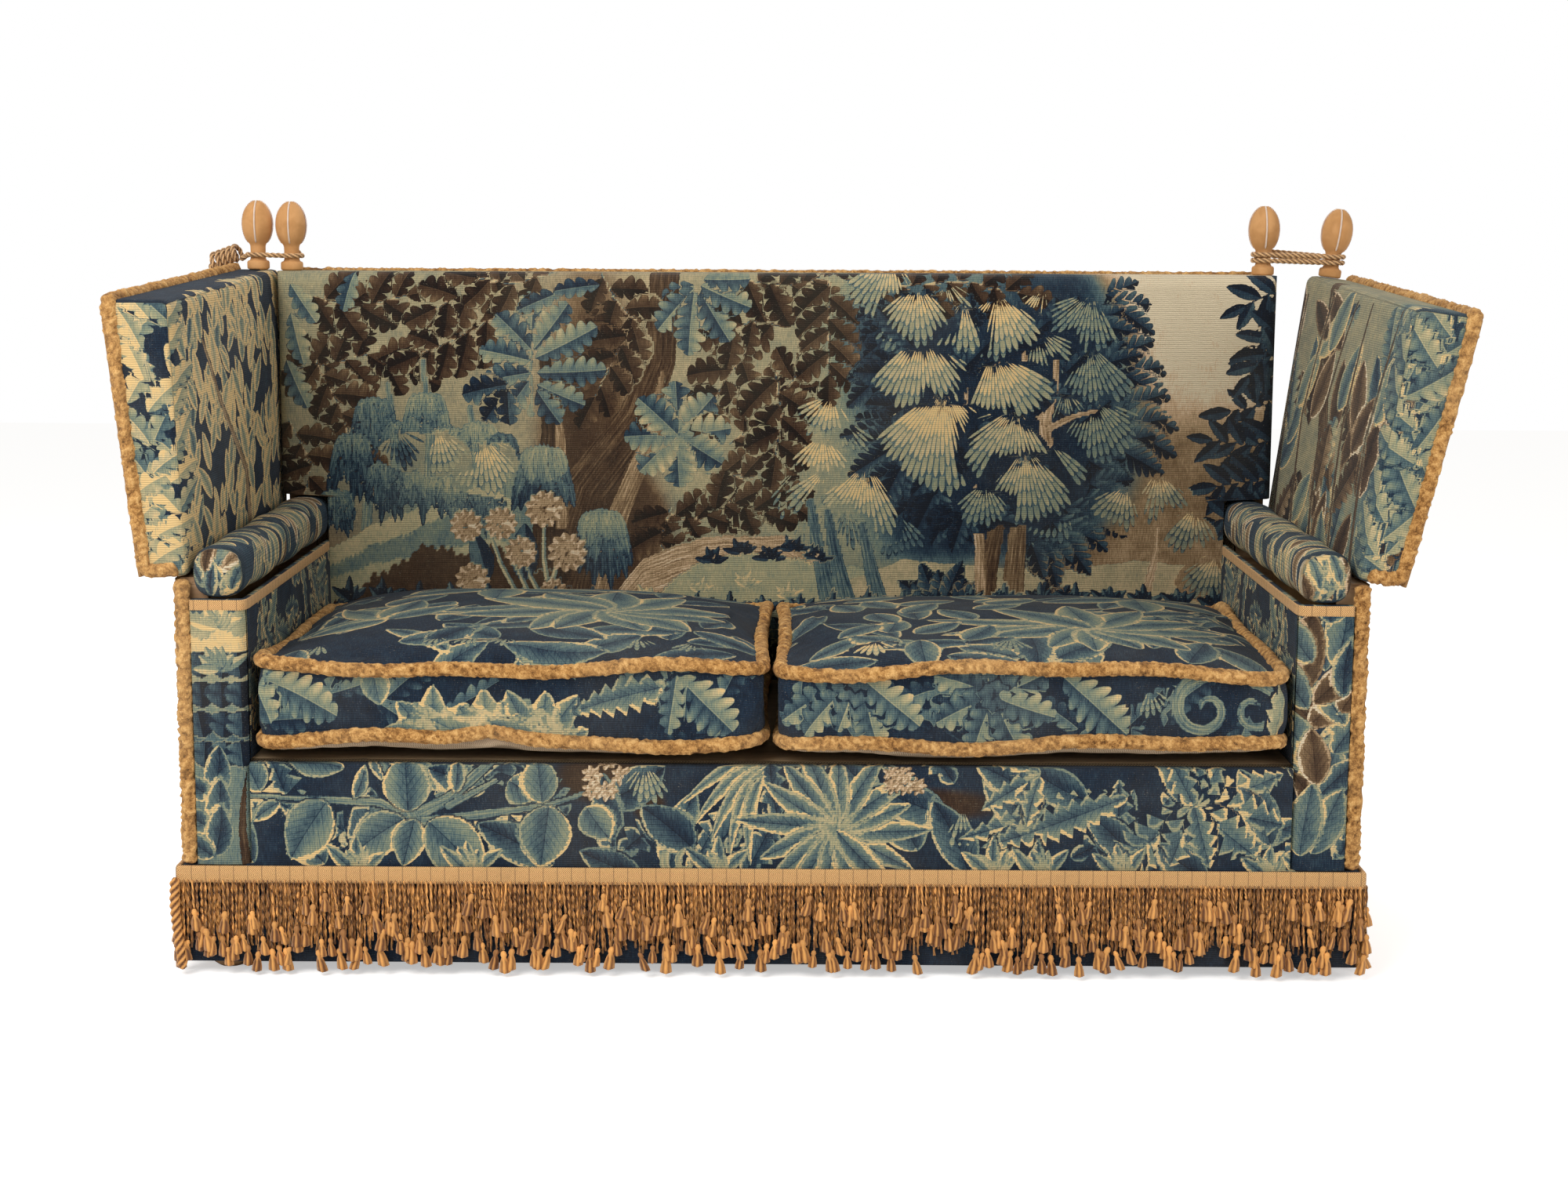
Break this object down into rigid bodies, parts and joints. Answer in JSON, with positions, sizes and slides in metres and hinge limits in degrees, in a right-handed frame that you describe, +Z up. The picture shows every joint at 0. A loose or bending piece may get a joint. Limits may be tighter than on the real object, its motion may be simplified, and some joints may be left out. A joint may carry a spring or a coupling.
{
  "type": "knole sofa",
  "caption": "High-backed two-seat settee with hinged drop wings roped to finials, loose crowned seat cushions, tapestry covers, looped ruche and a tasselled fringe",
  "frame": {"origin": "on the floor, below the middle of the sofa's extents in plan", "axes": "+X along the sofa to the right as seen from in front, +Y from the front to the back, +Z up; the sofa faces -Y"},
  "size_m": [1.9986, 0.7999, 1.1496],
  "materials": {
    "beech": "matte",
    "tapestry": "matte",
    "velvet": "matte",
    "lining": "matte",
    "trimming": "matte",
    "rope": "satin",
    "jute": "matte",
    "hinge_steel": "satin"
  },
  "bodies": {
    "frame": {"front_seat_rail": "beech", "rear_seat_rail": "beech", "left_seat_rail": "beech", "right_seat_rail": "beech", "left_front_post": "beech", "right_front_post": "beech", "left_back_post": "beech", "right_back_post": "beech", "left_arm_rail": "beech", "right_arm_rail": "beech", "back_top_rail": "beech", "left_front_foot": "beech", "left_rear_foot": "beech", "right_front_foot": "beech", "right_rear_foot": "beech", "front_border": "tapestry", "left_arm_front": "tapestry", "right_arm_front": "tapestry", "left_arm_inner_pad": "tapestry", "right_arm_inner_pad": "tapestry", "left_arm_top_pad": "tapestry", "right_arm_top_pad": "tapestry", "back_pad": "tapestry", "left_arm_outer_cover": "velvet", "right_arm_outer_cover": "velvet", "back_outer_cover": "velvet", "left_back_finial": "velvet", "right_back_finial": "velvet", "seat_deck": "lining", "seat_spring_unit": "lining", "back_stuffing": "lining", "left_arm_braid": "trimming", "right_arm_braid": "trimming", "left_arm_ruche": "trimming", "right_arm_ruche": "trimming", "back_ruche": "trimming", "base_fringe": "trimming", "right_rope": "rope", "seat_webbing": "jute", "left_hinge_arm_leaf": "hinge_steel", "right_hinge_arm_leaf": "hinge_steel"},
    "left_wing": {"left_wing_board": "beech", "left_wing_pad": "tapestry", "left_wing_outer_cover": "velvet", "left_wing_ruche": "trimming", "left_wing_finial": "velvet", "left_hinge_wing_leaf": "hinge_steel", "left_rope": "rope"},
    "right_wing": {"right_wing_board": "beech", "right_wing_pad": "tapestry", "right_wing_outer_cover": "velvet", "right_wing_ruche": "trimming", "right_wing_finial": "velvet", "right_hinge_wing_leaf": "hinge_steel"},
    "left_cushion": {"left_seat_cushion": "tapestry", "left_cushion_top_ruche": "trimming", "left_cushion_bottom_ruche": "trimming"},
    "right_cushion": {"right_seat_cushion": "tapestry", "right_cushion_top_ruche": "trimming", "right_cushion_bottom_ruche": "trimming"}
  },
  "joints": [
    {"name": "left_wing_hinge", "type": "hinge", "parent": "frame", "child": "left_wing", "pos_m": [-0.91243, 0.001, 0.5945], "axis": [0, -1, 0], "range_deg": [0, 85], "deforming": ["left_rope"]},
    {"name": "right_wing_hinge", "type": "hinge", "parent": "frame", "child": "right_wing", "pos_m": [0.85957, 0.001, 0.5945], "axis": [0, 1, 0], "range_deg": [-7.5, 77.5], "deforming": ["right_rope"]},
    {"name": "left_cushion_lift", "type": "slide", "parent": "frame", "child": "left_cushion", "axis": [0, 0, 1], "range_m": [0, 0.75]},
    {"name": "right_cushion_lift", "type": "slide", "parent": "frame", "child": "right_cushion", "axis": [0, 0, 1], "range_m": [0, 0.75]}
  ]
}
